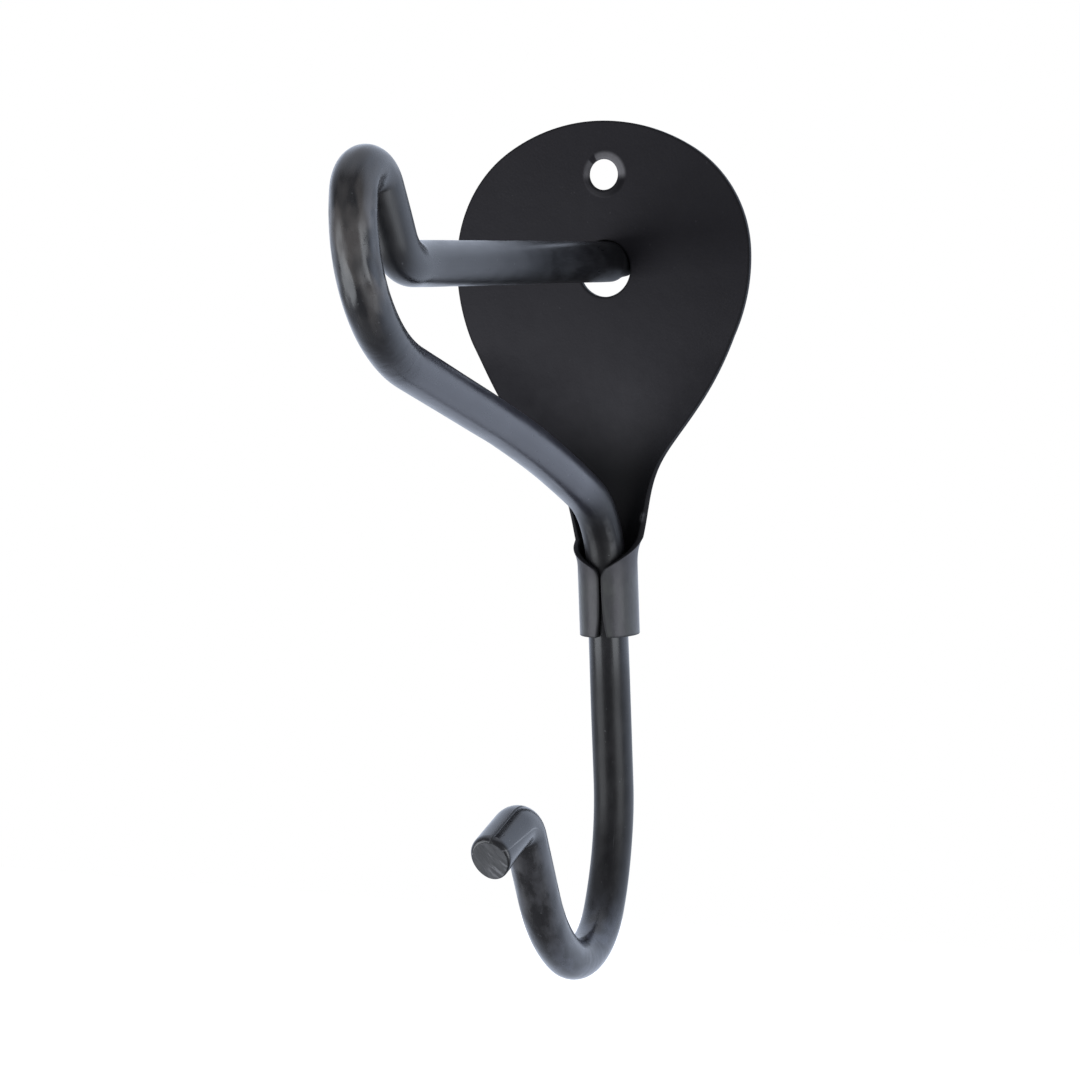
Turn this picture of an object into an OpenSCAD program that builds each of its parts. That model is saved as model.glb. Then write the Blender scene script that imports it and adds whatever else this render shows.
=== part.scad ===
// Wall hook for stable tack: a teardrop sheet steel plate whose tail is rolled into
// a split socket, and one round bar bent into an upper arm and a lower hook.
// Lengths are in mm. The wall is the plane y = 0, the hook stands out along -y and +z is up.
// The origin is the middle of the screw hole on the wall face.

/* [Bar] */
// Diameter of the round bar
rod_d = 10; // [8:0.5:12]
// Wall to the outermost point of the front bend
hook_reach = 134; // [115:1:150]
// Screw hole down to the middle of the arm
arm_drop = 21.5; // [20:0.1:26]
// Inside radius of the bend from the arm up into the crest
arm_bend_in_r = 4.4; // [2:0.1:5]
// Top of the crest above the middle of the arm
crest_rise = 24.3; // [22:0.1:32]
// Inside radius of the crest
crest_in_r = 0.8; // [0.5:0.1:2]
// Lean of the crest's inner leg from the vertical, in degrees
crest_lean = 24.9; // [12:0.1:30]
// Angle before plumb at which the crest opens out into the front bend
crest_open = 12.2; // [6:0.1:20]
// Inside radius of the front bend
front_in_r = 26.4; // [20:0.2:32]
// Inside radius of the bend from the brace down into the socket
foot_in_r = 16.8; // [14:0.1:26]
// Inside radius of the slow bow at the lower end of the brace
bow_in_r = 380; // [200:10:600]
// Turn of that bow, in degrees
bow_turn = 8.1; // [4:0.1:10]

/* [Lower hook] */
// Straight shaft below the socket
shaft_len = 37.2; // [20:0.2:60]
// Inside radius of the slow curve at the end of the shaft
heel_in_r = 54.6; // [50:0.2:90]
// Turn of that slow curve, in degrees
heel_turn = 31.5; // [15:0.5:40]
// Inside radius of the bowl of the hook
bowl_in_r = 11.7; // [9:0.1:16]
// Turn of the bowl, in degrees
bowl_turn = 94.4; // [85:0.2:115]
// Inside radius of the easing from the bowl into the toe
toe_in_r = 31.3; // [25:0.1:50]
// Turn of that easing, in degrees
toe_turn = 33.1; // [15:0.1:40]
// Straight toe below the tip
toe_len = 17.5; // [8:0.5:24]
// Inside radius of the bend that folds the tip over
tip_in_r = 0.6; // [0.4:0.1:4]
// Turn of the tip, in degrees
tip_turn = 86; // [70:1:110]
// Straight end of the tip
tip_len = 12.7; // [6:0.1:18]
// Chamfer on the sawn end of the tip
tip_chamfer = 0.8; // [0.2:0.1:1.5]

/* [Plate] */
// Thickness of the sheet
sheet_t = 1.5; // [1.5:0.1:3]
// Width of the plate at the arm
plate_w = 79.6; // [72:0.2:90]
// Top edge of the plate above the screw hole
crown_rise = 13.3; // [10:0.1:18]
// Radius of the top edge
crown_r = 46.8; // [42:0.2:60]
// Radius of the two shoulders
shoulder_r = 31.8; // [28:0.2:34]
// Radius of the two flanks
flank_r = 46.4; // [42:0.2:60]
// Slope of the flanks where the tail begins, in degrees from the vertical
flank_turn = 24.5; // [20:0.5:42]
// Width of the tail at its waist, measured round the roll
waist_w = 22.2; // [20:0.2:27]
// How far the plate's outline lies to one side of the bar
disc_shift = -2.2; // [-4:0.1:4]
// Lean of the plate's outline to that side, in degrees
disc_lean = 1.9; // [-3:0.1:3]
// Diameter of the screw hole
screw_hole_d = 7.4; // [5:0.1:8.5]
// Height of the lip that the punch raised round the screw hole
lip_h = 0.4; // [0.2:0.1:0.8]
// Width of that lip outside the screw hole
lip_w = 2.2; // [1.5:0.1:3]
// Extra width of the arm hole over the bar
arm_hole_play = 4; // [1:0.1:5]

/* [Socket] */
// Middle of the arm down to the top of the front seam
socket_drop = 75.4; // [70:0.2:84]
// Length of the front seam
socket_len = 17.2; // [12:0.2:26]
// Extra width of the socket's bore over the bar
socket_play = 2; // [0.4:0.1:2]
// Radius of the open trough above the socket
trough_r = 9.4; // [8.4:0.1:16]
// Rise of the ears' top edges from the seam to the waist
ear_rise = 6.4; // [3:0.1:8]
// Plain waist above the ears
waist_len = 0.6; // [0.4:0.1:6]
// How far round the socket the seam lies from the middle
seam_shift = 0.8; // [-3:0.1:3]
// Width of the seam
seam_gap = 0.9; // [0.6:0.1:1.5]
// Extra width of the seam at its foot, where the ears spring apart
seam_flare = 2.4; // [0:0.1:3]

/* [Fits] */
// Gap between the arm and the edge of its hole where it bears
arm_seat_gap = 0.1; // [0.05:0.05:0.3]
// Where the arm bears in its hole, in degrees to the right of the top
arm_seat_turn = 28; // [0:1:60]
// Gap between the shaft and the front of the socket
socket_seat_gap = 0.1; // [0.05:0.05:0.2]

/* [Hidden] */

$fn = 64;
finish_black = "#2b2c30";
paint_black = "#3a3c42";
// Length of the straight facets along a curved edge, and the columns across the rolled tail
facet_len = 2.5;
tail_columns = 36;
tail_rows = 20;
waist_rows = 1;
ear_rows = 9;
seam_rows = 6;
// How slowly the roll of the tail begins, and the pull of the two ends of its curved edge
roll_ease = 2.4;
clench_ease = 2.1;
tail_pull = 0.63;
waist_pull = 0.49;
flare_ease = 4;
ear_ease = 1.2;
cut_past = 1;
// How far the tail begins inside the flat of the plate, so that the two join as one sheet
tail_lap = 0.4;
// Lap between neighbouring lengths of the bar, and how much every other one has drawn thinner in radius
lap_len = 0.3;
lap_slim = 0.05;

rod_r = rod_d / 2;
arm_bend_r = arm_bend_in_r + rod_r;
crest_r = crest_in_r + rod_r;
front_r = front_in_r + rod_r;
foot_r = foot_in_r + rod_r;
bow_r = bow_in_r + rod_r;
heel_r = heel_in_r + rod_r;
bowl_r = bowl_in_r + rod_r;
toe_r = toe_in_r + rod_r;
tip_r = tip_in_r + rod_r;

// The bar lies in one upright plane. Its points are [distance from the wall, height above the arm].
socket_r = (rod_d + socket_play + sheet_t) / 2;
socket_axis = socket_r + sheet_t / 2;
shaft_axis = socket_axis + socket_play / 2 - socket_seat_gap;
crest_z = crest_rise - rod_r - crest_r;
front_c = [hook_reach - rod_r - front_r, crest_z - (front_r - crest_r) * sin(crest_open)];
crest_c = front_c + (front_r - crest_r) * along(crest_open);
leg_heading = 90 - crest_lean;
leg_end = crest_c + crest_r * along(leg_heading + 90);
arm_tangent = arm_bend_r * tan(leg_heading / 2);
arm_run = leg_end.x - leg_end.y / tan(leg_heading) - arm_tangent;
leg_run = leg_end.y / sin(leg_heading) - arm_tangent;
front_heading = crest_open - 90;
// The brace is the line that touches the front bend and the bow, and the bow runs on into the foot bend.
// The bow carries the foot bend's centre ahead along the brace and out to the side of it.
foot_c = [shaft_axis + foot_r, -socket_drop];
bow_ahead = (bow_r - foot_r) * sin(bow_turn);
bow_aside = (bow_r - foot_r) * (1 - cos(bow_turn));
brace_span = foot_c - front_c;
span_aside = front_r + foot_r + bow_aside;
span_ahead = sqrt(pow(norm(brace_span), 2) - pow(span_aside, 2));
brace_run = span_ahead - bow_ahead;
brace_heading = bearing(brace_span) - atan2(span_aside, span_ahead);
foot_turn = -90 - brace_heading - bow_turn;
// The lengths of the bar in order, each one straight or a bend: [run, centre line radius, turn]
bar_lengths = [
    [arm_run, 0, 0],
    [0, arm_bend_r, leg_heading],
    [leg_run, 0, 0],
    [0, crest_r, front_heading - leg_heading],
    [0, front_r, brace_heading - front_heading],
    [brace_run, 0, 0],
    [0, bow_r, bow_turn],
    [0, foot_r, foot_turn],
    [socket_len + shaft_len, 0, 0],
    [0, heel_r, heel_turn],
    [0, bowl_r, bowl_turn],
    [0, toe_r, toe_turn],
    [toe_len, 0, 0],
    [0, tip_r, -tip_turn],
    [tip_len, 0, 0]
];

// The blank's outline in the wall plane, with heights measured from the screw hole
arm_hole_r = (rod_d + arm_hole_play) / 2;
arm_ride = arm_hole_r - rod_r - arm_seat_gap;
arm_hole_at = [0, -arm_drop] - arm_ride * along(90 - arm_seat_turn);
crown_c = [0, crown_rise - crown_r];
flank_c = [plate_w / 2 - flank_r, -arm_drop];
// The shoulder's arc lies inside the crown's and the flank's, and touches both
crown_gap = crown_r - shoulder_r;
flank_gap = flank_r - shoulder_r;
centre_gap = norm(flank_c - crown_c);
shoulder_turn = acos((crown_gap * crown_gap + centre_gap * centre_gap - flank_gap * flank_gap)
    / (2 * crown_gap * centre_gap));
shoulder_c = crown_c + crown_gap * along(bearing(flank_c - crown_c) - shoulder_turn);
crown_end = bearing(shoulder_c - crown_c);
shoulder_end = bearing(shoulder_c - flank_c);
half_outline = concat(
    arc_points(crown_c, crown_r, 90, crown_end),
    arc_points(shoulder_c, shoulder_r, crown_end, shoulder_end),
    arc_points(flank_c, flank_r, shoulder_end, -flank_turn)
);
tail_top = half_outline[len(half_outline) - 1];

// Rows of the tail from the plate down to the socket's foot: [height, half width, side shift, curvature]
seam_top_z = -arm_drop - socket_drop;
ear_top_z = seam_top_z + ear_rise;
waist_z = ear_top_z + waist_len;
tail_drop = tail_top.y - waist_z;
tail_curve = [
    tail_top,
    tail_top - tail_pull * tail_drop * [tan(flank_turn), 1],
    [waist_w / 2, waist_z + waist_pull * tail_drop],
    [waist_w / 2, waist_z]
];
wrap_w = PI * socket_r - seam_gap / 2;
tail_sections = concat(
    [[tail_top.y + tail_lap, tail_top.x, side_shift(tail_top.y), 0]],
    [for (i = [0:tail_rows]) tail_row(i / tail_rows)],
    [for (i = [1:waist_rows]) waist_row(i / waist_rows)],
    [for (i = [1:ear_rows]) ear_row(i / ear_rows)],
    [for (i = [1:seam_rows]) seam_row(i / seam_rows)]
);

function along(angle) = [cos(angle), sin(angle)];
function bearing(v) = atan2(v.y, v.x);
function reversed(list) = [for (i = [len(list) - 1:-1:0]) list[i]];
function mix(a, b, share) = a + (b - a) * share;
function arc_points(c, r, from, to) =
    let (n = ceil(abs(to - from) * PI / 180 * r / facet_len))
    [for (i = [1:n]) c + r * along(mix(from, to, i / n))];
function cubic(p, u) =
    let (v = 1 - u)
    v * v * v * p[0] + 3 * u * v * v * p[1] + 3 * u * u * v * p[2] + u * u * u * p[3];
// How far the middle of the plate's outline lies from the bar at a height
function side_shift(z) = disc_shift + (z + arm_drop) * tan(disc_lean);
// A point of the upright outline after its shift and lean, which leave the top of the tail level
function leant(p) =
    let (share = (p.y - tail_top.y) / (crown_rise - tail_top.y))
    [p.x + side_shift(p.y), p.y - p.x * share * tan(disc_lean)];
// How far the ears have closed between the waist and the top of the seam, from 0 to 1
function clench(z) = 1 - pow(max(0, (z - seam_top_z) / (waist_z - seam_top_z)), clench_ease);
function curvature(z) = mix(1 / trough_r, 1 / socket_r, clench(z));
function tail_row(u) =
    let (at = cubic(tail_curve, u), down = (tail_top.y - at.y) / tail_drop)
    [at.y, at.x, side_shift(at.y) * (1 - down), pow(down, roll_ease) / trough_r];
function waist_row(u) =
    let (z = mix(waist_z, ear_top_z, u))
    [z, waist_w / 2, 0, curvature(z)];
function ear_row(u) =
    let (z = mix(ear_top_z, seam_top_z, u))
    [z, mix(waist_w / 2, wrap_w, pow(u, ear_ease)), -seam_shift * u, curvature(z)];
function seam_row(u) =
    [seam_top_z - socket_len * u, wrap_w - seam_flare / 2 * pow(u, flare_ease), -seam_shift, 1 / socket_r];
// A point of the sheet: side is 0 on the outer face and 1 on the inner face of the roll
function tail_point(row, column, side) =
    let (
        s = row[2] + row[1] * (2 * column / tail_columns - 1),
        k = row[3],
        turn = k * s * 180 / PI,
        x = k == 0 ? s : sin(turn) / k,
        out = k == 0 ? 0 : (1 - cos(turn)) / k,
        face = (side - 0.5) * sheet_t
    )
    [x - face * sin(turn), -sheet_t / 2 - out - face * cos(turn), row[0]];

// The sawn end of the bar, with its chamfer
module sawn_length(run, r) {
    rotate([0, 90, 0])
        rotate_extrude()
            polygon([[0, 0], [r, 0], [r, run - tip_chamfer], [r - tip_chamfer, run], [0, run]]);
}

module straight_length(run, r, lap) {
    translate([-lap, 0, 0])
        rotate([0, 90, 0])
            cylinder(h = run + 2 * lap, r = r);
}

// A bend that starts along x and turns about a centre beside the bar
module bent_length(radius, turn, r, lap) {
    side = sign(turn);
    lap_turn = lap / radius * 180 / PI;
    translate([0, side * radius, 0])
        rotate([0, 0, (side > 0 ? -90 : 90 + turn) - lap_turn])
            rotate_extrude(angle = abs(turn) + 2 * lap_turn)
                translate([radius, 0])
                    circle(r = r);
}

// One length of the bar, then the rest of the bar from its end.
// Every other length has drawn a little thinner and laps into its neighbours, so the bar joins as one solid.
module bar_from(step) {
    run = bar_lengths[step][0];
    radius = bar_lengths[step][1];
    turn = bar_lengths[step][2];
    slim = step % 2 == 1;
    r = slim ? rod_r - lap_slim : rod_r;
    lap = slim ? lap_len : 0;
    if (step == len(bar_lengths) - 1) {
        sawn_length(run, r);
    } else if (turn == 0) {
        straight_length(run, r, lap);
        translate([run, 0, 0])
            bar_from(step + 1);
    } else {
        bent_length(radius, turn, r, lap);
        translate([0, sign(turn) * radius, 0])
            rotate([0, 0, turn])
                translate([0, -sign(turn) * radius, 0])
                    bar_from(step + 1);
    }
}

module hook_rod() {
    color(paint_black)
        translate([0, 0, -arm_drop])
            rotate([90, 0, -90])
                bar_from(0);
}

// A hole through the sheet and its lip, at a place on the plate
module wall_bore(at, r) {
    translate([at.x, cut_past, at.y])
        rotate([90, 0, 0])
            cylinder(h = sheet_t + lip_h + 2 * cut_past, r = r);
}

module flat_plate() {
    right = [for (p = half_outline) leant(p)];
    left = [for (p = reversed(half_outline)) leant([-p.x, p.y])];
    lip_r = screw_hole_d / 2 + lip_w;
    difference() {
        union() {
            rotate([90, 0, 0])
                linear_extrude(height = sheet_t)
                    polygon(concat([leant([0, crown_rise])], right, left));
            translate([0, -sheet_t, 0])
                rotate([90, 0, 0])
                    cylinder(h = lip_h, r1 = lip_r, r2 = lip_r - lip_w / 2);
        }
        wall_bore([0, 0], screw_hole_d / 2);
        wall_bore(arm_hole_at, arm_hole_r);
    }
}

// The tail of the blank, flat at the top, drawn into a trough and then round into the split socket
module rolled_tail() {
    rows = len(tail_sections);
    ring = 2 * (tail_columns + 1);
    points = [for (row = tail_sections, side = [0, 1], column = [0:tail_columns]) tail_point(row, column, side)];
    last = tail_columns;
    // The rim of a row, round the outer face and back along the inner face
    rim = concat([for (c = [0:last]) c], [for (c = [last:-1:0]) last + 1 + c]);
    walls = [
        for (i = [0:rows - 2], j = [0:ring - 1])
            let (
                a = i * ring + rim[j],
                b = i * ring + rim[(j + 1) % ring],
                c = a + ring,
                d = b + ring,
                right_half = rim[j] % (last + 1) + rim[(j + 1) % ring] % (last + 1) > last
            )
            each (j < last) == right_half ? [[a, c, b], [b, c, d]] : [[a, d, b], [a, c, d]]
    ];
    top = [for (c = [0:last - 1]) each [[c, c + 1, last + 1 + c], [c + 1, last + 2 + c, last + 1 + c]]];
    foot = [for (f = top) [for (i = [2:-1:0]) f[i] + (rows - 1) * ring]];
    polyhedron(points = points, faces = concat(walls, top, foot));
}

module back_plate() {
    color(finish_black)
        union() {
            flat_plate();
            rolled_tail();
        }
}

back_plate();
hook_rod();
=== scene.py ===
import math

import bmesh
import bpy
from mathutils import Matrix, Vector, noise


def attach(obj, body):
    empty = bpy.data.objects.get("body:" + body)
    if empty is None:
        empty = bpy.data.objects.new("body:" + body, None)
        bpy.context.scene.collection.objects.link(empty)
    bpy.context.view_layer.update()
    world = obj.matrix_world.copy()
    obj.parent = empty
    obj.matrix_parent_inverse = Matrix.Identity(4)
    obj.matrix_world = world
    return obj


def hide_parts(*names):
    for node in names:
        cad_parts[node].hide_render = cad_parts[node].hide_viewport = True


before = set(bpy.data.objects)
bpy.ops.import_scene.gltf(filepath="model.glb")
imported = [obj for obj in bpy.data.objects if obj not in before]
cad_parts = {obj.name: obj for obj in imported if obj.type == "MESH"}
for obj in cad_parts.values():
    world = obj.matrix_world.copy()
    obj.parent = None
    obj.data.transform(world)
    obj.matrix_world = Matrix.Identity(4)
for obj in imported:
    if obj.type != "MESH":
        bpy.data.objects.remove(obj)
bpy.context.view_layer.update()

mm = 0.001
near = 0.01  # millimetres within which two places count as one
merge = 0.001  # millimetres within which points are joined
scene = bpy.context.scene
scene.view_settings.view_transform = "Standard"


class Wire:  # a shader output that takes part in Python sums
    def __init__(self, tree, out=None):
        self.tree = tree
        self.out = out

    def node(self, kind, settings=None, sockets=None, give=0):
        made = self.tree.nodes.new("ShaderNode" + kind)
        for key, value in (settings or {}).items():
            setattr(made, key, value)
        for key, value in (sockets or {}).items():
            if isinstance(value, Wire):
                self.tree.links.new(value.out, made.inputs[key])
            else:
                made.inputs[key].default_value = value
        return Wire(self.tree, made.outputs[give] if made.outputs else None)

    def maths(self, operation, a, b):
        return self.node("Math", {"operation": operation}, {0: a, 1: b})

    def __add__(self, other):
        return self.maths("ADD", self, other)

    def __radd__(self, other):
        return self.maths("ADD", other, self)

    def __sub__(self, other):
        return self.maths("SUBTRACT", self, other)

    def __rsub__(self, other):
        return self.maths("SUBTRACT", other, self)

    def __mul__(self, other):
        return self.maths("MULTIPLY", self, other)

    def __rmul__(self, other):
        return self.maths("MULTIPLY", other, self)

    def __truediv__(self, other):
        return self.maths("DIVIDE", self, other)

    def __rtruediv__(self, other):
        return self.maths("DIVIDE", other, self)

    def band(self, low, high):  # 0 below low, 1 above high, eased between
        span = {"Value": self, "From Min": low, "From Max": high}
        return self.node("MapRange", {"interpolation_type": "SMOOTHSTEP"}, span)

    def between(self, start, full, fade, end):  # 1 from full to fade, 0 before start and past end
        return self.band(start, full) - self.band(fade, end)

    def blend(self, one, two):  # this value as the share of the second colour
        parts = {"Factor": self, 6: one, 7: two}
        return self.node("Mix", {"data_type": "RGBA"}, parts, 2)

    def part(self, axis):  # one number of a vector
        return self.node("SeparateXYZ", None, {0: self}, axis)

    def stretch(self, amounts):  # the vector times three amounts
        return self.node("VectorMath", {"operation": "MULTIPLY"}, {0: self, 1: amounts})

    def dot(self, way):
        return self.node("VectorMath", {"operation": "DOT_PRODUCT"}, {0: self, 1: way}, 1)

    def farFrom(self, point):
        return self.node("VectorMath", {"operation": "DISTANCE"}, {0: self, 1: point}, 1)

    def line(self, angle, narrow, wide, aside=0.0, slope=0.0, middle=0.0):  # 1 on a line along the bar
        out = heading(angle + 90)
        gap = self.dot((out.x, out.y, -slope)) + (slope * middle - aside)
        return 1 - (gap * gap).band(narrow ** 2, wide ** 2)

    def grain(self, size, detail=2.0, rough=0.5):  # noise, size in metres between bumps
        place = {"Vector": self, "Scale": 1 / size, "Detail": detail, "Roughness": rough}
        return self.node("TexNoise", None, place)


def newMaterial(name):
    made = bpy.data.materials.new(name)
    made.use_nodes = True
    made.node_tree.nodes.clear()
    return made, Wire(made.node_tree)


def closeMaterial(wire, shader):
    wire.node("OutputMaterial", None, {"Surface": shader})


def coated(colour, coats):  # each coat is its share and its colour, the last on top
    for share, tint in coats:
        colour = share.blend(colour, tint)
    return colour


def heading(angle):  # unit vector in the bar's own plane, x away from the wall and y up
    return Vector((math.cos(math.radians(angle)), math.sin(math.radians(angle))))


def bearing(v):
    return math.degrees(math.atan2(v.y, v.x))


def mix(a, b, share):
    return a + (b - a) * share


def eased(share):  # 0 to 1, level at both ends
    share = min(1.0, max(0.0, share))
    return share * share * (3 - 2 * share)


def vertsOf(geom):
    return [g for g in geom if isinstance(g, bmesh.types.BMVert)]


def edgesOf(geom):
    return [g for g in geom if isinstance(g, bmesh.types.BMEdge)]


def finishPiece(bm, name, node, material):
    bmesh.ops.scale(bm, verts=bm.verts, vec=(mm,) * 3)
    mesh = bpy.data.meshes.new(name)
    bm.to_mesh(mesh)
    bm.free()
    for face in mesh.polygons:  # the flat ends of the bar stay flat
        face.use_smooth = face.loop_total <= 4
    mesh.materials.append(material)
    piece = bpy.data.objects.new(name, mesh)
    scene.collection.objects.link(piece)
    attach(piece, "root")
    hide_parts(node)
    return piece


# The bar: one length of round stock, walked from its end in the plate to its sawn tip
bar = {  # mm and degrees
    "radius": 5.0, "sides": 64, "step": 1.6, "turnStep": 5, "armDrop": 21.5, "reach": 134.0,
    "armBend": 9.4, "crestRise": 24.3, "crest": 5.8, "crestLean": 24.9, "crestOpen": 12.2,
    "front": 31.4, "foot": 21.8, "bow": 385.0, "bowTurn": 8.1,
    "shaftAxis": 8.4, "socketDrop": 75.4, "shaft": 54.4,
    "heel": (59.6, 31.5), "bowl": (16.7, 94.4), "toe": (36.3, 33.1), "toeRun": 17.5,
    "tip": (5.6, -86.0), "tipRun": 12.7,
    "endRound": 1.4, "endSteps": 5, "endSharp": 0.25, "footDraw": 0.8, "drawLong": 4.5,
    "burrGap": -0.12, "burrFrom": -0.45, "burrFade": 0.6,
    "wave": 0.07, "waveSize": 14.0,
}


def barLengths(b):  # every straight as a run, every bend as (radius, turn)
    crestUp = b["crestRise"] - b["radius"] - b["crest"]
    opened = heading(b["crestOpen"]) * (b["front"] - b["crest"])
    frontMid = Vector((b["reach"] - b["radius"] - b["front"], crestUp - opened.y))
    legHeading = 90 - b["crestLean"]
    legEnd = frontMid + opened + heading(legHeading + 90) * b["crest"]
    corner = b["armBend"] * math.tan(math.radians(legHeading / 2))
    slope = math.radians(legHeading)
    frontHeading = b["crestOpen"] - 90
    bowTurn = math.radians(b["bowTurn"])
    span = Vector((b["shaftAxis"] + b["foot"], -b["socketDrop"])) - frontMid
    aside = b["front"] + b["foot"] + (b["bow"] - b["foot"]) * (1 - math.cos(bowTurn))
    ahead = math.sqrt(span.length_squared - aside * aside)
    braceHeading = bearing(span) - math.degrees(math.atan2(aside, ahead))
    return [
        legEnd.x - legEnd.y / math.tan(slope) - corner,
        (b["armBend"], legHeading),
        legEnd.y / math.sin(slope) - corner,
        (b["crest"], frontHeading - legHeading),
        (b["front"], braceHeading - frontHeading),
        ahead - (b["bow"] - b["foot"]) * math.sin(bowTurn),
        (b["bow"], b["bowTurn"]),
        (b["foot"], -90 - braceHeading - b["bowTurn"]),
        b["shaft"], b["heel"], b["bowl"], b["toe"], b["toeRun"], b["tip"], b["tipRun"],
    ]


def sweepBar(b, bm):  # draws a ring along every length, and tells where the tip ends and its heading
    straight = bm.verts.layers.float_vector["straightBar"]
    bmesh.ops.create_circle(bm, segments=b["sides"], radius=b["radius"])
    for v in bm.verts:
        v[straight] = v.co * mm
    bmesh.ops.rotate(bm, verts=bm.verts, matrix=Matrix.Rotation(math.radians(90), 3, "X"))
    bmesh.ops.translate(bm, verts=bm.verts, vec=(0, 0, -b["armDrop"]))
    ring = list(bm.verts) + list(bm.edges)
    at, facing, gone = Vector((0, -b["armDrop"])), 0.0, 0.0
    for length in barLengths(b):
        bend = isinstance(length, tuple)
        radius, turn = length if bend else (0.0, 0.0)
        travel = abs(math.radians(turn)) * radius if bend else length
        steps = max(math.ceil(travel / b["step"]), math.ceil(abs(turn) / b["turnStep"]))
        side = math.copysign(90, turn)
        middle = at + heading(facing + side) * radius
        way = heading(facing) * (travel / steps)
        for i in range(steps):
            if bend:
                ring = bmesh.ops.spin(
                    bm, geom=ring, cent=(0, -middle.x, middle.y), axis=(-1, 0, 0),
                    angle=math.radians(turn) / steps, steps=1)["geom_last"]
            else:
                grown = bmesh.ops.extrude_edge_only(bm, edges=edgesOf(ring))["geom"]
                ring = vertsOf(grown) + edgesOf(grown)
                bmesh.ops.translate(bm, verts=vertsOf(ring), vec=(0, -way.x, way.y))
            gone += travel / steps
            for v in vertsOf(ring):
                v[straight].z = gone * mm
        if bend:
            at = middle + heading(facing - side + turn) * radius
            facing += turn
        else:
            at = at + heading(facing) * travel
    return at, facing


def tipFace(bm):  # the lower of the bar's two flat ends
    return min((f for f in bm.faces if len(f.verts) > 4), key=lambda f: f.calc_center_median().z)


def cutTip(b, bm, at, facing):  # rounds the end over on top, draws its foot down and leaves that sharp
    sawn = bm.verts.layers.float["sawn"]
    bmesh.ops.bevel(
        bm, geom=list(tipFace(bm).edges), offset=b["endRound"], offset_type="OFFSET",
        affect="EDGES", segments=b["endSteps"], profile=0.5, material=-1)
    for v in tipFace(bm).verts:
        v[sawn] = 1.0
    ahead, above = heading(facing), heading(facing + 90)
    for v in bm.verts:
        off = Vector((-v.co.y, v.co.z)) - at
        short = -off.dot(ahead)
        out = Vector((v.co.x, off.dot(above)))
        if short < b["drawLong"] and out.length < 2 * b["radius"]:
            upward = out.y / out.length
            drawn = b["footDraw"] * eased(1 - short / b["drawLong"]) * max(0.0, -upward) ** 2
            if short < b["endRound"] + near:
                keep = mix(b["endSharp"], 1.0, eased(0.5 + 0.5 * upward))
                out = out.normalized() * (b["radius"] - (b["radius"] - out.length) * keep)
                short *= keep
            place = at + above * (out.y - drawn) - ahead * short
            v.co = (out.x, -place.x, place.y)


def burrArm(b, p, bm):  # the arm's end is burred over in its hole, on the side where it bears
    borne = heading(90 - p["armSeatTurn"])
    hole = borne * -p["armRide"]
    for v in bm.verts:
        out = Vector((v.co.x, v.co.z + b["armDrop"]))
        if v.co.y > -near and out.length < 2 * b["radius"]:
            out.normalize()
            across = out.dot(hole)
            full = across + math.sqrt(across ** 2 - hole.length_squared + p["armHole"] ** 2) - b["burrGap"]
            out *= mix(b["radius"], full, eased((out.dot(borne) - b["burrFrom"]) / b["burrFade"]))
            v.co.x, v.co.z = out.x, out.y - b["armDrop"]


def makeBar(b, p):
    bm = bmesh.new()
    bm.verts.layers.float_vector.new("straightBar")  # place on the bar before bending, in metres
    bm.verts.layers.float.new("sawn")  # 1 on the bare face of the tip
    at, facing = sweepBar(b, bm)
    bmesh.ops.holes_fill(bm, edges=[e for e in bm.edges if e.is_boundary], sides=0)
    bmesh.ops.recalc_face_normals(bm, faces=bm.faces)
    cutTip(b, bm, at, facing)
    burrArm(b, p, bm)
    for v in bm.verts:  # the slow unevenness of rolled bar
        v.co += v.normal * b["wave"] * noise.noise(v.co / b["waveSize"])
    return bm


# The plate: a teardrop blank, flat above, its tail drawn into a trough and rolled round the bar
plate = {  # mm and degrees
    "thick": 1.5, "width": 79.6, "armDrop": 21.5, "crownRise": 13.3, "crown": 46.8,
    "shoulder": 31.8, "flank": 46.4, "flankTurn": 24.5, "waist": 22.2, "shift": -2.2, "lean": 1.9,
    "screwHole": 3.7, "armHole": 7.0, "armHoleSides": 64, "armRide": 1.9, "armSeatTurn": 28.0,
    "lipHigh": 0.4, "lipWide": 2.2, "lipSteep": 1.5, "lipRings": 6, "lipSides": 48, "backReach": 0.6,
    "arcStep": 1.2, "margin": 0.7, "columns": 72, "rowStep": 0.9,
    # the last number on the next line is the painted shade given to the sheared edges
    "edgeRound": 0.22, "edgeSteps": 3, "edgeTurn": 55, "edgeShade": 0.7,
}
socket = {
    "middle": 6.75, "drop": 75.4, "long": 17.2, "trough": 9.4, "earRise": 6.4, "waistLong": 0.6,
    "seamShift": 0.8, "seam": 0.5, "seamFlare": 2.0, "notch": 1.0, "notchLong": 2.6,
    "rollEase": 2.4, "clenchEase": 2.1, "tailPull": 0.63, "waistPull": 0.49, "flareEase": 4, "earEase": 1.2,
    # the last two numbers on the next line set where the painted shade inside the roll begins and deepens
    "earRowStep": 0.3, "longRowStep": 0.6, "troughFrom": 12.0, "troughFade": 24.0,
}


def sideShift(p, z):
    return p["shift"] + (z + p["armDrop"]) * math.tan(math.radians(p["lean"]))


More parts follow.
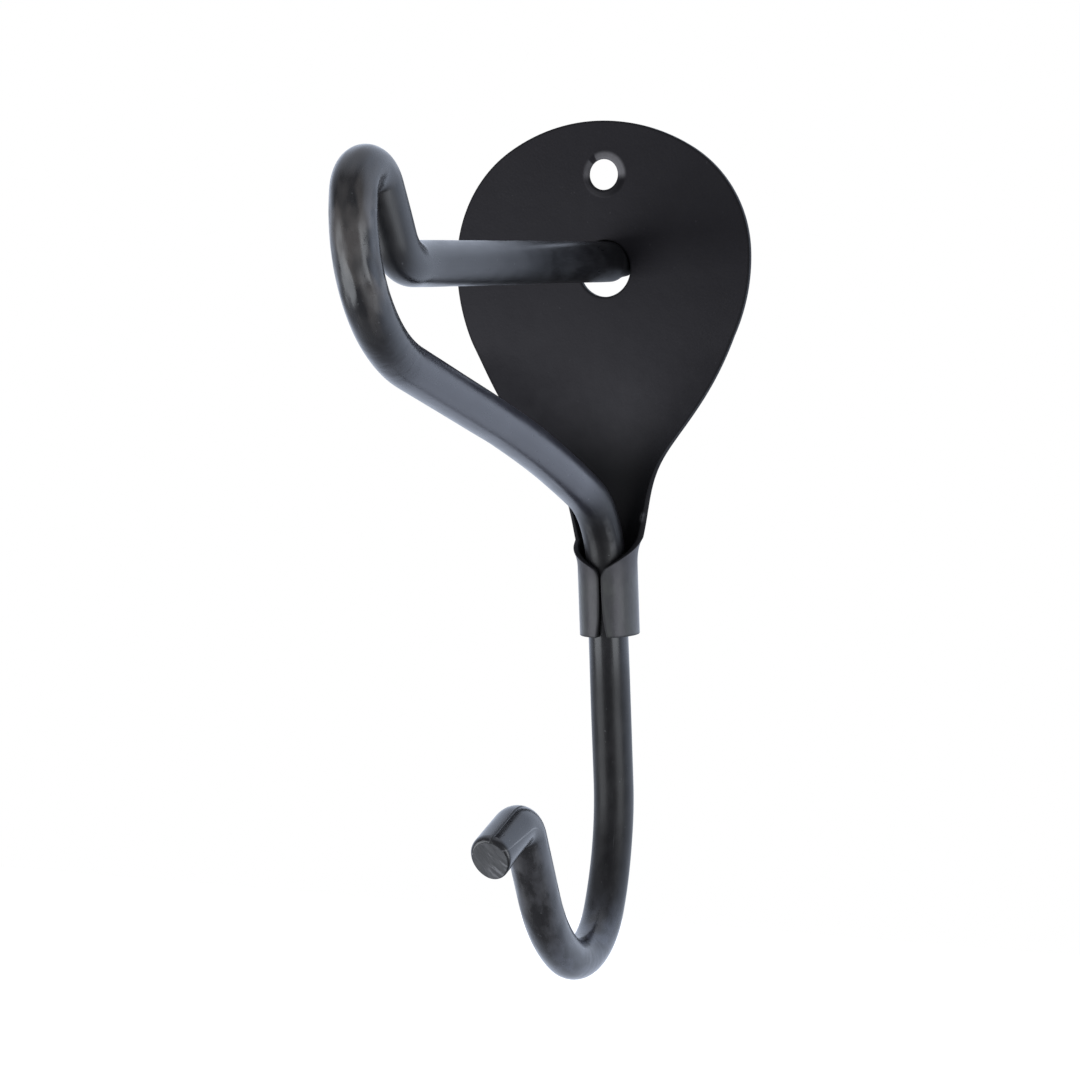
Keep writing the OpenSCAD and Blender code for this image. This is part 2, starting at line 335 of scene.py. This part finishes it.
def outlineArcs(p):  # crown, shoulder and flank: centre, from, to, radius
    crownMid = Vector((0, p["crownRise"] - p["crown"]))
    flankMid = Vector((p["width"] / 2 - p["flank"], -p["armDrop"]))
    gap = flankMid - crownMid
    inCrown, inFlank = p["crown"] - p["shoulder"], p["flank"] - p["shoulder"]
    share = (inCrown ** 2 + gap.length_squared - inFlank ** 2) / (2 * inCrown * gap.length)
    shoulderMid = crownMid + heading(bearing(gap) - math.degrees(math.acos(share))) * inCrown
    crownEnd, shoulderEnd = bearing(shoulderMid - crownMid), bearing(shoulderMid - flankMid)
    return [
        (crownMid, 90, crownEnd, p["crown"]), (shoulderMid, crownEnd, shoulderEnd, p["shoulder"]),
        (flankMid, shoulderEnd, -p["flankTurn"], p["flank"]),
    ]


def shares(length, step):  # even shares of a length, up to 1
    count = math.ceil(length / step)
    return [i / count for i in range(1, count + 1)]


def tailRows(p, s, top):  # rows down the tail: height, half width, side shift, curvature
    seamTop = -p["armDrop"] - s["drop"]
    earTop = seamTop + s["earRise"]
    waistZ = earTop + s["waistLong"]
    fall = top.y - waistZ
    pull = Vector((math.tan(math.radians(p["flankTurn"])), 1)) * s["tailPull"] * fall
    half = p["waist"] / 2
    curve = [top, top - pull, Vector((half, waistZ + s["waistPull"] * fall)), Vector((half, waistZ))]
    wrap = math.pi * s["middle"] - s["seam"] / 2

    def curled(z):
        opening = max(0.0, (z - seamTop) / (waistZ - seamTop)) ** s["clenchEase"]
        return mix(1 / s["trough"], 1 / s["middle"], 1 - opening)

    rows = []
    for u in shares(fall, p["rowStep"]):  # the tail narrows and begins to roll
        v = 1 - u
        at = curve[0] * v ** 3 + curve[1] * 3 * u * v * v + curve[2] * 3 * u * u * v + curve[3] * u ** 3
        down = (top.y - at.y) / fall
        rows.append((at.y, at.x, sideShift(p, at.y) * (1 - down), down ** s["rollEase"] / s["trough"]))
    for u in shares(s["waistLong"], p["rowStep"]):
        z = mix(waistZ, earTop, u)
        rows.append((z, half, 0.0, curled(z)))
    for u in shares(s["earRise"], s["earRowStep"]):  # the ears close in
        z = mix(earTop, seamTop, u)
        rows.append((z, mix(half, wrap - s["notch"], u ** s["earEase"]), -s["seamShift"] * u, curled(z)))
    for u in shares(s["long"], s["longRowStep"]):
        opened = max(0.0, 1 - s["long"] * u / s["notchLong"]) ** 2  # the corners of the flaps are rounded
        wide = wrap - s["seamFlare"] / 2 * u ** s["flareEase"] - s["notch"] * opened
        rows.append((seamTop - s["long"] * u, wide, -s["seamShift"], 1 / s["middle"]))
    return rows


def rolled(p, row, across, inner):  # a point of the tail on the outer or the inner face of the roll
    z, half, shift, bend = row
    run = shift + half * (2 * across - 1)
    turn = bend * run
    x = math.sin(turn) / bend
    out = (1 - math.cos(turn)) / bend
    face = (0.5 if inner else -0.5) * p["thick"]
    return Vector((x - face * math.sin(turn), -p["thick"] / 2 - out - face * math.cos(turn), z))


def cutBlank(p, bm):  # the outline above the tail, and the place where the tail starts on the right
    point = bmesh.ops.create_vert(bm, co=(0, 0, p["crownRise"]))["vert"]
    for mid, start, stop, radius in outlineArcs(p):
        turn = math.radians(start - stop)
        point = bmesh.ops.spin(
            bm, geom=point, cent=(mid.x, 0, mid.y), axis=(0, 1, 0),
            angle=turn, steps=math.ceil(turn * radius / p["arcStep"]))["geom_last"]
    top = Vector((point[0].co.x, point[0].co.z))
    bmesh.ops.mirror(bm, geom=list(bm.verts) + list(bm.edges), merge_dist=merge, axis="X")
    tips = [v for v in bm.verts if len(v.link_edges) == 1]
    for v in bm.verts:  # the blank lies a little to one side and leans
        share = (v.co.z - top.y) / (p["crownRise"] - top.y)
        tilt = v.co.x * share * math.tan(math.radians(p["lean"]))
        v.co.x += sideShift(p, v.co.z)
        v.co.z -= tilt
    foot = bm.edges.new(tips)
    bmesh.ops.subdivide_edges(bm, edges=[foot], cuts=p["columns"] - 1)
    return top


def punchHoles(p, bm, lipOut):  # fills the blank round its two holes, and rings the screw hole with its lip
    turn = Matrix.Rotation(math.radians(90), 4, "X")
    armHole = Vector((0, -p["armDrop"])) - heading(90 - p["armSeatTurn"]) * p["armRide"]
    lipRing = bmesh.ops.create_circle(bm, segments=p["lipSides"], radius=lipOut, matrix=turn)["verts"]
    bmesh.ops.create_circle(
        bm, segments=p["armHoleSides"], radius=p["armHole"],
        matrix=Matrix.Translation((armHole.x, 0, armHole.y)) @ turn)
    bmesh.ops.triangle_fill(bm, use_beauty=True, edges=list(bm.edges))
    lipEdges = [e for e in bm.edges if all(v in lipRing for v in e.verts) and e.is_boundary]
    ringWide = p["lipWide"] / p["lipRings"]
    for i in range(p["lipRings"]):
        grown = bmesh.ops.extrude_edge_only(bm, edges=lipEdges)["geom"]
        closer = (lipOut - ringWide * (i + 1)) / (lipOut - ringWide * i)
        bmesh.ops.scale(bm, verts=vertsOf(grown), vec=(closer,) * 3)
        lipEdges = [e for e in edgesOf(grown) if e.is_boundary]
    for v in bm.verts:  # the punch rounds the back of the hole over
        reach = lipOut - math.hypot(v.co.x, v.co.z)
        if reach > 0:
            v.co *= (lipOut - reach * p["backReach"]) / (lipOut - reach)
    bmesh.ops.inset_region(
        bm, faces=list(bm.faces), thickness=p["margin"], use_boundary=True, use_even_offset=True)


def rollTail(p, bm, rows, top):  # extrudes the foot of the blank row by row, on the outer face of the roll
    acrossAt = bm.verts.layers.float["across"]
    rowAt = bm.verts.layers.int["row"]
    edges = [e for e in bm.edges if e.is_boundary and all(abs(v.co.z - top.y) < near for v in e.verts)]
    foot = {v for e in edges for v in e.verts}
    left = min(v.co.x for v in foot)
    wide = max(v.co.x for v in foot) - left
    for v in foot:
        v[acrossAt] = (v.co.x - left) / wide
    for i, row in enumerate(rows, 1):
        grown = bmesh.ops.extrude_edge_only(bm, edges=edges)["geom"]
        for v in vertsOf(grown):
            v[rowAt] = i
            v.co = rolled(p, row, v[acrossAt], False)
        edges = [e for e in edgesOf(grown) if all(v[rowAt] == i for v in e.verts)]


def thicken(p, s, bm, rows, top, lipOut):  # the room's side of the sheet, with the lip standing on it
    acrossAt = bm.verts.layers.float["across"]
    rowAt = bm.verts.layers.int["row"]
    shadeAt = bm.verts.layers.float["paintedShade"]
    grown = bmesh.ops.extrude_face_region(bm, geom=list(bm.faces))["geom"]
    for v in vertsOf(grown):
        if v[rowAt]:
            v.co = rolled(p, rows[v[rowAt] - 1], v[acrossAt], True)
            # painted shade, deepening down the inside of the roll
            v[shadeAt] = eased((top.y - s["troughFrom"] - v.co.z) / s["troughFade"])
        else:
            v.co.y -= p["thick"]
            reach = (lipOut - math.hypot(v.co.x, v.co.z)) / p["backReach"]
            if reach > 0:
                spread = (lipOut - reach) / (lipOut - reach * p["backReach"])
                v.co.x *= spread
                v.co.z *= spread
                v.co.y -= p["lipHigh"] * eased(reach / p["lipWide"] * p["lipSteep"])


def makePlate(p, s):
    bm = bmesh.new()
    bm.verts.layers.float.new("across")  # place across the tail, 0 to 1
    bm.verts.layers.int.new("row")  # row of the tail, 0 on the flat
    bm.verts.layers.float.new("paintedShade")  # painted shade: 1 down inside the roll, less on the sheared edges, which are partly rough matt in their own right
    lipOut = p["screwHole"] + p["lipWide"]
    top = cutBlank(p, bm)
    rows = tailRows(p, s, top)
    punchHoles(p, bm, lipOut)
    rollTail(p, bm, rows, top)
    thicken(p, s, bm, rows, top, lipOut)
    bmesh.ops.remove_doubles(bm, verts=bm.verts, dist=merge)
    bmesh.ops.recalc_face_normals(bm, faces=bm.faces)
    sharp = math.radians(p["edgeTurn"])
    rim = [e for e in bm.edges if len(e.link_faces) == 2 and e.calc_face_angle() > sharp]
    shadeAt = bm.verts.layers.float["paintedShade"]
    # painted shade on the sheared edges, which are partly rough matt in their own right
    for v in {v for e in rim for v in e.verts}:
        if math.hypot(v.co.x, v.co.z) > lipOut:
            v[shadeAt] = max(v[shadeAt], p["edgeShade"])
    bmesh.ops.bevel(
        bm, geom=rim, offset=p["edgeRound"], offset_type="OFFSET",
        affect="EDGES", segments=p["edgeSteps"], profile=0.5, material=-1)
    return bm


# Black lacquer on drawn bar: draw lines, soft dents, pits, dust, rubbed places, a bare sawn end, painted
# shade on the arm's end in the plate and in the tip's crease, and painted highlights beside the crease and
# on a pressed facet of the tip
barZones = {  # where each starts, is full, fades and ends, in metres along the straight bar
    "arm": (0.012, 0.03, 0.095, 0.108), "leg": (0.104, 0.116, 0.124, 0.13),
    "crest": (0.115, 0.14, 0.156, 0.17), "front": (0.132, 0.148, 0.158, 0.172),
    "frontInside": (0.168, 0.172, 0.18, 0.186), "brace": (0.17, 0.19, 0.27, 0.29),
    "shaft": (0.27, 0.285, 0.382, 0.402), "rub": (0.286, 0.293, 0.298, 0.3025),
    "clenched": (0.302, 0.312, 0.322, 0.336), "bowl": (0.385, 0.4, 0.42, 0.435),
    "hook": (0.385, 0.4, 0.455, 0.462), "bowlInside": (0.4, 0.406, 0.414, 0.42),
    "toe": (0.42, 0.435, 0.456, 0.464),
}
barMarks = {  # lines: angle round the bar, half width at full and at nothing, aside, slope, middle
    # on the tip, the crease line carries painted shade, and the line beside it and the pressed line are
    # painted highlights
    "rubLeft": (100, 0.00032, 0.00126), "rubRight": (40, 0.00032, 0.00126), "shadedCrease": (76, 0.00014, 0.00035),
    "creaseHighlight": (76, 0.0001, 0.000245, 0.00045), "pressHighlight": (10, 0.0001, 0.000224, 0.0, 0.137, 0.4699),
    # the first span on the next line is where the arm's end, in the plate's hole, gets painted shade
    "seatShade": (0.002, 0.014), "endDull": (0.004, 0.03), "fold": (0.461, 0.465),  # from and to, along the bar
    "sawTurn": -0.7,  # radians
}
barColours = {
    "lacquer": (0.004, 0.004, 0.005, 1), "thinLacquer": (0.012, 0.012, 0.013, 1), "rub": (0.1, 0.1, 0.1, 1),
    "brace": (0.045, 0.045, 0.065, 1), "bends": (0.046, 0.04, 0.034, 1), "hook": (0.05, 0.055, 0.072, 1),
    # the last colour on the next line is the painted shade in the tip's crease
    "blotch": (0.09, 0.081, 0.073, 1), "dust": (0.14, 0.14, 0.145, 1), "shadedCrease": (0.003, 0.003, 0.003, 1),
    "steel": (0.028, 0.029, 0.03, 1), "cut": (0.07, 0.071, 0.074, 1), "scratch": (0.25, 0.25, 0.26, 1),
    # the near-black colour on the next line is painted shade
    "paintedShade": (0.006, 0.006, 0.007, 1), "shine": (0.95, 0.97, 1.0, 1),
}


def barPaint(zones, marks, c):
    made, wire = newMaterial("barPaint")
    along = wire.node("Attribute", {"attribute_name": "straightBar"}, None, "Vector")
    sawn = wire.node("Attribute", {"attribute_name": "sawn"}, None, "Fac").band(0.3, 0.9)
    gone = along.part(2)
    zone = {name: gone.between(*ends) for name, ends in zones.items()}
    lines = along.stretch((1, 1, 0.03)).grain(0.0007, 3, 0.6)
    dents = along.stretch((1, 1, 0.55)).grain(0.0048, 1)
    patches = along.stretch((1, 1, 0.4)).grain(0.011, 4, 0.6)
    mottle = along.stretch((1, 1, 0.6)).grain(0.0036, 3, 0.55).band(0.36, 0.68)
    pits = along.stretch((1, 1, 0.7)).grain(0.0011, 2).band(0.66, 0.74) * patches.band(0.45, 0.6)
    dust = along.grain(0.0008, 1).band(0.74, 0.8)
    hairs = along.stretch((1, 1, 0.02)).grain(0.0005, 2).band(0.68, 0.76) * patches.band(0.5, 0.65)
    blotch = along.stretch((1, 1, 0.5)).grain(0.0065, 2).band(0.5, 0.6) * zone["front"]
    bent = zone["crest"] + zone["toe"]
    wearAndSheen = zone["bowl"] * 0.6 + zone["hook"] * 0.4
    wrinkles = along.stretch((0.35, 0.35, 1)).grain(0.0016, 2) * (zone["bowlInside"] + zone["frontInside"])
    rubbed = (along.line(*marks["rubLeft"]) + along.line(*marks["rubRight"])) * zone["rub"]
    # painted shade on the arm's end where it sits in the plate's hole
    seatedShade = 1 - gone.band(*marks["seatShade"])
    mattAndShade = (zone["shaft"] - zone["clenched"] * 0.75) * (0.6 + patches * 0.5)
    mattAndShade = mattAndShade + (1 - gone.band(*marks["endDull"])) * 0.8
    folded = gone.band(*marks["fold"]) * (1 - sawn)
    # the crease on the folded tip is a groove with painted shade in it; painted highlights run beside it and
    # along the edge of a pressed facet
    shadedCrease = along.line(*marks["shadedCrease"]) * folded
    creaseHighlight = along.line(*marks["creaseHighlight"]) * folded * lines.band(0.35, 0.55)
    pressedHighlight = along.line(*marks["pressHighlight"]) * folded * lines.band(0.35, 0.6)
    colour = coated(mottle.blend(c["lacquer"], c["thinLacquer"]), [
        (rubbed * (0.25 + mottle * 0.5), c["rub"]),
        (zone["brace"] * 0.35, c["brace"]),
        (mottle * bent * 0.5, c["bends"]),
        (wearAndSheen * mottle * 0.8, c["hook"]),
        (blotch * 0.7, c["blotch"]),
        # dust and hairlines, with the painted highlights beside the crease and on the pressed facet
        (hairs * 0.6 + dust * 0.4 + creaseHighlight * 0.5 + pressedHighlight * 0.8, c["dust"]),
        # painted shade in the crease
        (shadedCrease * 0.9, c["shadedCrease"]),
    ])
    sawWay = {"Vector": along, "Angle": marks["sawTurn"]}
    turned = wire.node("VectorRotate", {"rotation_type": "Z_AXIS"}, sawWay)
    cuts = turned.stretch((1, 0.12, 1)).grain(0.0005, 3, 0.7)
    scratches = turned.stretch((1, 0.16, 1)).grain(0.0012, 4, 0.75).band(0.57, 0.65)
    steel = coated(cuts.band(0.3, 0.7).blend(c["steel"], c["cut"]), [(scratches * 0.5, c["scratch"])])
    rough = 0.12 + lines * 0.08 + patches * 0.12 + mottle * (0.05 + bent * 0.12)
    rough = rough + sawn * 0.3 + seatedShade * 0.4 + shadedCrease * 0.4 + mattAndShade * 0.1
    rough = rough + zone["leg"] * 0.16 + zone["brace"] * 0.06 + zone["arm"] * 0.1
    height = lines * 0.03 + dents * (0.15 + bent * 1.1 + zone["front"] * 1.5)
    height = height - pits * 0.08 - shadedCrease * 0.3 + wrinkles * 0.25 + sawn * cuts * 0.5
    bump = wire.node("Bump", None, {"Strength": 0.8, "Distance": 0.0005, "Height": height})
    glossy = wire.node("BsdfPrincipled", None, {
        "Base Color": sawn.blend(colour, steel), "Roughness": rough, "Normal": bump, "IOR": 1.7,
        "Specular Tint": c["shine"]})
    matt = wire.node("BsdfPrincipled", None, {
        "Base Color": colour, "Roughness": 0.44, "Normal": bump, "IOR": 1.7, "Specular IOR Level": 0.22})
    # near-black matt paint laid where painted shade is wanted
    paintedShade = wire.node("BsdfPrincipled", None, {
        "Base Color": c["paintedShade"], "Roughness": 0.6, "Specular IOR Level": 0.12})
    lacquer = wire.node("MixShader", None, {0: mattAndShade, 1: glossy, 2: matt})
    # the arm's end in the hole takes the near-black matt paint as painted shade
    closeMaterial(wire, wire.node("MixShader", None, {0: seatedShade * 0.8, 1: lacquer, 2: paintedShade}))
    return made


# Satin black on sheet: faint clouds, dust, a painted sheen lighter towards the bottom and the left, a
# scuffed lip with a painted highlight on its upper half and painted shade on its lower half, a streaky
# socket, and painted shade in the trough and on the sheared edges
plateMarks = {  # metres from the middle of the screw hole
    # the lip's upper half gets a painted highlight and its lower half painted shade
    "lip": (0.0036, 0.0041, 0.005, 0.0061), "lipLitHalf": (-0.0018, 0.0004), "lipLeft": (-0.0038, 0.0),
    # the two spans on the next line spread a painted sheen, lighter towards the bottom and to the left
    "lowSheen": (-0.11, -0.005), "leftSheen": (-0.045, 0.03), "clenched": (-0.101, -0.093),
    "nickPlace": (0.0086, -0.0057, -0.0848), "nickSize": (0.0004, 0.0018),
    "scuffGapTo": (0.6, 0.8), "scuffGap": (0.978, 0.992),  # left and up, and cosines from that way
}
plateColours = {
    # the first colour on the next line is a painted sheen
    "lacquer": (0.002, 0.002, 0.003, 1), "cloud": (0.005, 0.005, 0.006, 1), "wearAndSheen": (0.06, 0.059, 0.062, 1),
    # the last colour on the next line is the lip's scuffed paint, partly a painted highlight
    "dust": (0.1, 0.1, 0.105, 1), "nick": (0.13, 0.13, 0.135, 1), "scuffAndHighlight": (0.16, 0.157, 0.16, 1),
    # the near-black colour on the next line is painted shade
    "streak": (0.09, 0.095, 0.085, 1), "paintedShade": (0.006, 0.006, 0.007, 1), "shine": (0.94, 0.91, 1.0, 1),
}


def plateFinish(marks, c):
    made, wire = newMaterial("plateFinish")
    place = wire.node("TexCoord", None, None, "Object")
    # where the painted shade lies: inside the roll and on the sheared edges
    insideShade = wire.node("Attribute", {"attribute_name": "paintedShade"}, None, "Fac")
    across, up = place.part(0), place.part(2)
    clouds = place.grain(0.022, 3)
    mottle = place.grain(0.0045, 3)
    tooth = place.grain(0.0007, 2)
    streaks = place.stretch((1, 1, 0.3)).grain(0.0035, 3, 0.6).band(0.35, 0.65)
    dust = place.grain(0.0011, 1).band(0.75, 0.82) * clouds.band(0.4, 0.6)
    # painted sheen: lighter towards the bottom of the plate and a little to the left, mottled
    low = 1 - up.band(*marks["lowSheen"])
    aside = 1 - across.band(*marks["leftSheen"])
    wearAndSheen = (low * (0.2 + low * 0.75) + aside * 0.05) * (0.55 + mottle * 0.9)
    nick = (1 - place.farFrom(marks["nickPlace"]).band(*marks["nickSize"])) * mottle.band(0.3, 0.6)
    fromHole = place.stretch((1, 0, 1)).farFrom((0, 0, 0))
    lip = fromHole.between(*marks["lip"])
    # the lip's upper half takes a painted highlight and its lower half painted shade
    litHalf = up.band(*marks["lipLitHalf"])
    gapLeft, gapUp = marks["scuffGapTo"]
    gap = ((up * gapUp - across * gapLeft) / fromHole).band(*marks["scuffGap"])
    # the scuffed lip, broken by a gap at its upper left, is lighter only on its upper half as a painted
    # highlight
    scuffAndHighlight = lip * litHalf * (1 - gap) * (0.45 + across.band(*marks["lipLeft"]) * 0.55) * (0.6 + mottle * 0.8)
    clenched = 1 - up.band(*marks["clenched"])
    colour = coated(clouds.band(0.35, 0.7).blend(c["lacquer"], c["cloud"]), [
        # the painted sheen
        (wearAndSheen, c["wearAndSheen"]),
        (dust * 0.2, c["dust"]),
        (nick, c["nick"]),
        # the scuffed lip with its painted highlight
        (scuffAndHighlight, c["scuffAndHighlight"]),
        (clenched * (0.12 + streaks * 0.5), c["streak"]),
    ])
    rough = 0.42 + clouds * 0.08 + mottle * 0.05 - clenched * 0.16
    height = tooth * 0.4 + mottle * (0.8 + clenched * 2) + clouds * 1.5
    bump = wire.node("Bump", None, {"Strength": 0.5, "Distance": 0.00012, "Height": height})
    satin = wire.node("BsdfPrincipled", None, {
        "Base Color": colour, "Roughness": rough, "Normal": bump, "IOR": 1.44, "Specular Tint": c["shine"]})
    # near-black matt paint laid where painted shade is wanted
    paintedShade = wire.node("BsdfPrincipled", None, {
        "Base Color": c["paintedShade"], "Roughness": 0.6, "Specular IOR Level": 0.12})
    # painted shade: near-black matt paint inside the roll, on the sheared edges and on the lower half of the
    # lip
    mattAndShade = insideShade * (1 - nick) + lip * (1 - litHalf) * 0.45
    closeMaterial(wire, wire.node("MixShader", None, {0: mattAndShade, 1: satin, 2: paintedShade}))
    return made


paint = barPaint(barZones, barMarks, barColours)
hookBar = finishPiece(makeBar(bar, plate), "hookBar", "hook_rod", paint)
print("bar made:", len(hookBar.data.polygons), "faces")
finish = plateFinish(plateMarks, plateColours)
backPlate = finishPiece(makePlate(plate, socket), "backPlate", "back_plate", finish)
backPlate.modifiers.new("evenNormals", "WEIGHTED_NORMAL")
print("plate made:", len(backPlate.data.polygons), "faces")

# The camera, at the photograph's view
view = {  # mm, degrees and pixels, and the clip in metres
    "place": (243.92, -562.85, -28.59), "azimuth": 25.284, "elevation": 5.77, "roll": -2.074,
    "focal": 2444.0, "frame": 1080.0, "sensor": 36.0, "clip": (0.01, 50),
}


def makeCamera(c):
    a, e, r = (math.radians(c[k]) for k in ("azimuth", "elevation", "roll"))
    back = Vector((math.sin(a) * math.cos(e), -math.cos(a) * math.cos(e), math.sin(e)))
    level = Vector((math.cos(a), math.sin(a), 0))
    rise = back.cross(level)
    right = level * math.cos(r) + rise * math.sin(r)
    up = rise * math.cos(r) - level * math.sin(r)
    data = bpy.data.cameras.new("camera")
    data.sensor_width = c["sensor"]
    data.lens = c["focal"] / c["frame"] * c["sensor"]
    data.clip_start, data.clip_end = c["clip"]
    made = bpy.data.objects.new("camera", data)
    turned = Matrix((right, up, back)).transposed().to_4x4()
    made.matrix_world = Matrix.Translation(Vector(c["place"]) * mm) @ turned
    scene.collection.objects.link(made)
    scene.camera = made


makeCamera(view)

# The studio: a white room with a dark front, where the camera stands, two low soft lights and a pale floor
studio = {  # metres and degrees
    "white": (1, 1, 1, 1), "lightColour": (0.94, 0.97, 1.0), "aim": (0, -0.05, -0.08),
    "floorDrop": -1.9, "floorSize": 12.0, "floorColour": (0.86, 0.86, 0.86, 1), "floorLift": 0.5,
    "front": (0.28, 0.28, 0.30, 1), "rear": (1.12, 1.24, 1.48, 1), "ceiling": (0.95, 0.98, 1.08, 1),
    "frontAzimuth": 3, "frontElevation": -10, "rearTo": -0.6, "frontFrom": 0.4, "ceilingFrom": 0.6,
    "left": {"azimuth": -43, "distance": 1.6, "rise": -0.58, "size": (1.3, 1.25), "glow": 2.45},
    "right": {"azimuth": 63, "distance": 1.6, "rise": -0.40, "size": (1.1, 0.95), "glow": 2.5},
}


def toward(azimuth, elevation):  # unit vector into the room, azimuth to the right of straight out
    level = heading(azimuth - 90) * math.cos(math.radians(elevation))
    return Vector((level.x, level.y, math.sin(math.radians(elevation))))


def makeRoom(s):
    room = bpy.data.worlds.new("whiteRoom")
    room.use_nodes = True
    room.node_tree.nodes.clear()
    scene.world = room
    wire = Wire(room.node_tree)
    look = wire.node("TexCoord", None, None, "Generated")
    facing = look.dot(toward(s["frontAzimuth"], s["frontElevation"]))
    seen = wire.node("LightPath", None, None, "Is Camera Ray")
    colour = coated(facing.band(s["rearTo"], s["frontFrom"]).blend(s["rear"], s["front"]), [
        (look.part(2).band(s["ceilingFrom"], 1.0), s["ceiling"]),
        (seen, s["white"]),
    ])
    glow = wire.node("Background", None, {"Color": colour, "Strength": 1.0})
    wire.node("OutputWorld", None, {"Surface": glow})


def makeFloor(s):  # reflections look past the floor to the room
    made, wire = newMaterial("paleFloor")
    seen = wire.node("LightPath", None, None, "Is Camera Ray")
    mirrored = wire.node("LightPath", None, None, "Is Glossy Ray")
    plain = wire.node("BsdfDiffuse", None, {"Color": s["floorColour"]})
    lift = wire.node("Emission", None, {"Color": s["white"], "Strength": s["floorLift"]})
    lifted = wire.node("AddShader", None, {0: plain, 1: lift})
    shown = wire.node("MixShader", None, {0: seen, 1: plain, 2: lifted})
    clear = wire.node("BsdfTransparent")
    closeMaterial(wire, wire.node("MixShader", None, {0: mirrored, 1: shown, 2: clear}))
    bm = bmesh.new()
    bmesh.ops.create_grid(bm, x_segments=1, y_segments=1, size=s["floorSize"] / 2)
    bmesh.ops.translate(bm, verts=bm.verts, vec=(0, 0, s["floorDrop"]))
    mesh = bpy.data.meshes.new("floor")
    bm.to_mesh(mesh)
    bm.free()
    mesh.materials.append(made)
    floor = bpy.data.objects.new("floor", mesh)
    scene.collection.objects.link(floor)


def softLight(name, s, lamp):
    wide, tall = lamp["size"]
    data = bpy.data.lights.new(name, "AREA")
    data.shape = "RECTANGLE"
    data.size, data.size_y = wide, tall
    data.color = s["lightColour"]
    data.energy = lamp["glow"] * math.pi * wide * tall
    made = bpy.data.objects.new(name, data)
    aim = Vector(s["aim"])
    made.location = aim + toward(lamp["azimuth"], 0) * lamp["distance"] + Vector((0, 0, lamp["rise"]))
    made.rotation_euler = (aim - made.location).to_track_quat("-Z", "Y").to_euler()
    made.visible_camera = False
    scene.collection.objects.link(made)


makeRoom(studio)
makeFloor(studio)
softLight("leftLight", studio, studio["left"])
softLight("rightLight", studio, studio["right"])
print("studio ready")
